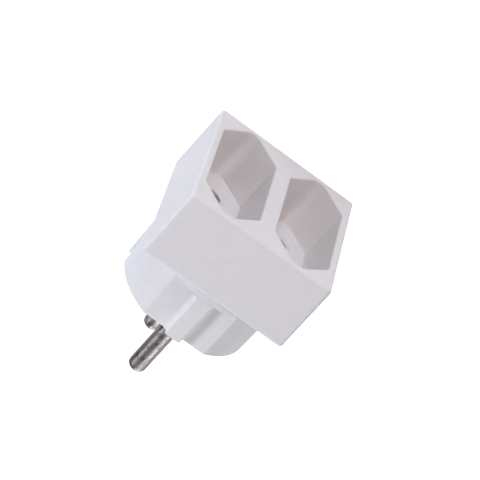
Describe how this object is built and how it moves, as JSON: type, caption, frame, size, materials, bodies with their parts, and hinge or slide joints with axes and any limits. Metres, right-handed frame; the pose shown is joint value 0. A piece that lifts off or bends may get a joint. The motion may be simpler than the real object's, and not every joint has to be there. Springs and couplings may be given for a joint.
{
  "type": "multi socket adapter",
  "caption": "White plug-in socket adapter: a square box with hexagonal wells for flat plugs side by side, on a ribbed round contour plug with round pins",
  "frame": {"origin": "middle of the round plug's end face, between the two pins, on the plug's axis", "axes": "+Y along the pins, away from the wells; +Z along the long way of the wells, towards the upper pin; +X across both wells"},
  "size_m": [0.0408, 0.0571, 0.0426],
  "materials": {
    "housing_white": "fine satin moulded, neutral white",
    "plug_white": "fine satin moulded, faintly warm white",
    "pin_nickel": "nickel plated, polished, with faint draw marks",
    "contact_brass": "stamped and formed, dull",
    "rivet_brass": "headed",
    "screw_steel": "zinc plated"
  },
  "bodies": {
    "root": {"front_shell": "housing_white", "contact_cover": "housing_white", "rear_cover": "plug_white", "pin_upper": "pin_nickel", "pin_lower": "pin_nickel", "strip_upper": "contact_brass", "strip_lower": "contact_brass", "sleeve_upper_left": "contact_brass", "sleeve_lower_left": "contact_brass", "sleeve_upper_right": "contact_brass", "sleeve_lower_right": "contact_brass", "rivets": "rivet_brass", "housing_screw": "screw_steel"}
  },
  "joints": []
}
